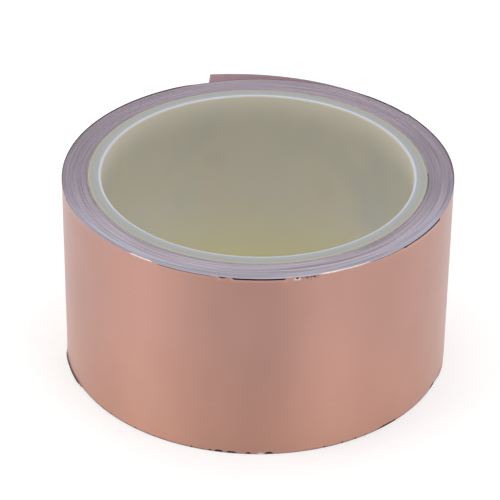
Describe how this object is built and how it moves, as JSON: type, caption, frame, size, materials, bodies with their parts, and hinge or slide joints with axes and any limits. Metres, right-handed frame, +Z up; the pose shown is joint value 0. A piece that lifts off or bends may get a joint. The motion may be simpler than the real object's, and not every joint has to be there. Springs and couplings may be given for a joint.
{
  "type": "copper foil tape roll",
  "caption": "Roll of adhesive-backed copper foil tape on a plastic core, with a hinged loose end and a release liner tab that lifts off.",
  "frame": {"origin": "centre of the spindle bore, at the end face that the roll stands on", "axes": "+Z up along the roll's axis; +X to the right and +Y to the back, with the cut end of the tape at the back; the tape winds outwards counter-clockwise about +Z"},
  "size_m": [0.0954, 0.0981, 0.05],
  "materials": {
    "core_plastic": "translucent extruded plastic tube, slightly yellow",
    "starter_tape": "thin brown double-sided tape",
    "release_liner": "thin silicone-coated paper",
    "adhesive_film": "clear pressure-sensitive acrylic film",
    "copper_foil": "bare rolled copper, satin"
  },
  "bodies": {
    "roll": {"core": "core_plastic", "starter_tape": "starter_tape", "liner_winding": "release_liner", "adhesive_winding": "adhesive_film", "foil_winding": "copper_foil", "outer_wrap": "copper_foil"},
    "tail": {"tail_liner": "release_liner", "tail_adhesive": "adhesive_film", "tail_foil": "copper_foil"},
    "liner_tab": {"liner_tab": "release_liner"}
  },
  "joints": [
    {"name": "tail_peel", "type": "hinge", "parent": "roll", "child": "tail", "pos_m": [0.03071, 0.0366, 0.025], "axis": [0, 0, -1], "range_deg": [0, 80]},
    {"name": "liner_pick", "type": "hinge", "parent": "tail", "child": "liner_tab", "pos_m": [0.00047, 0.04979, 0.025], "axis": [0, 0, 1], "range_deg": [0, 12]}
  ]
}
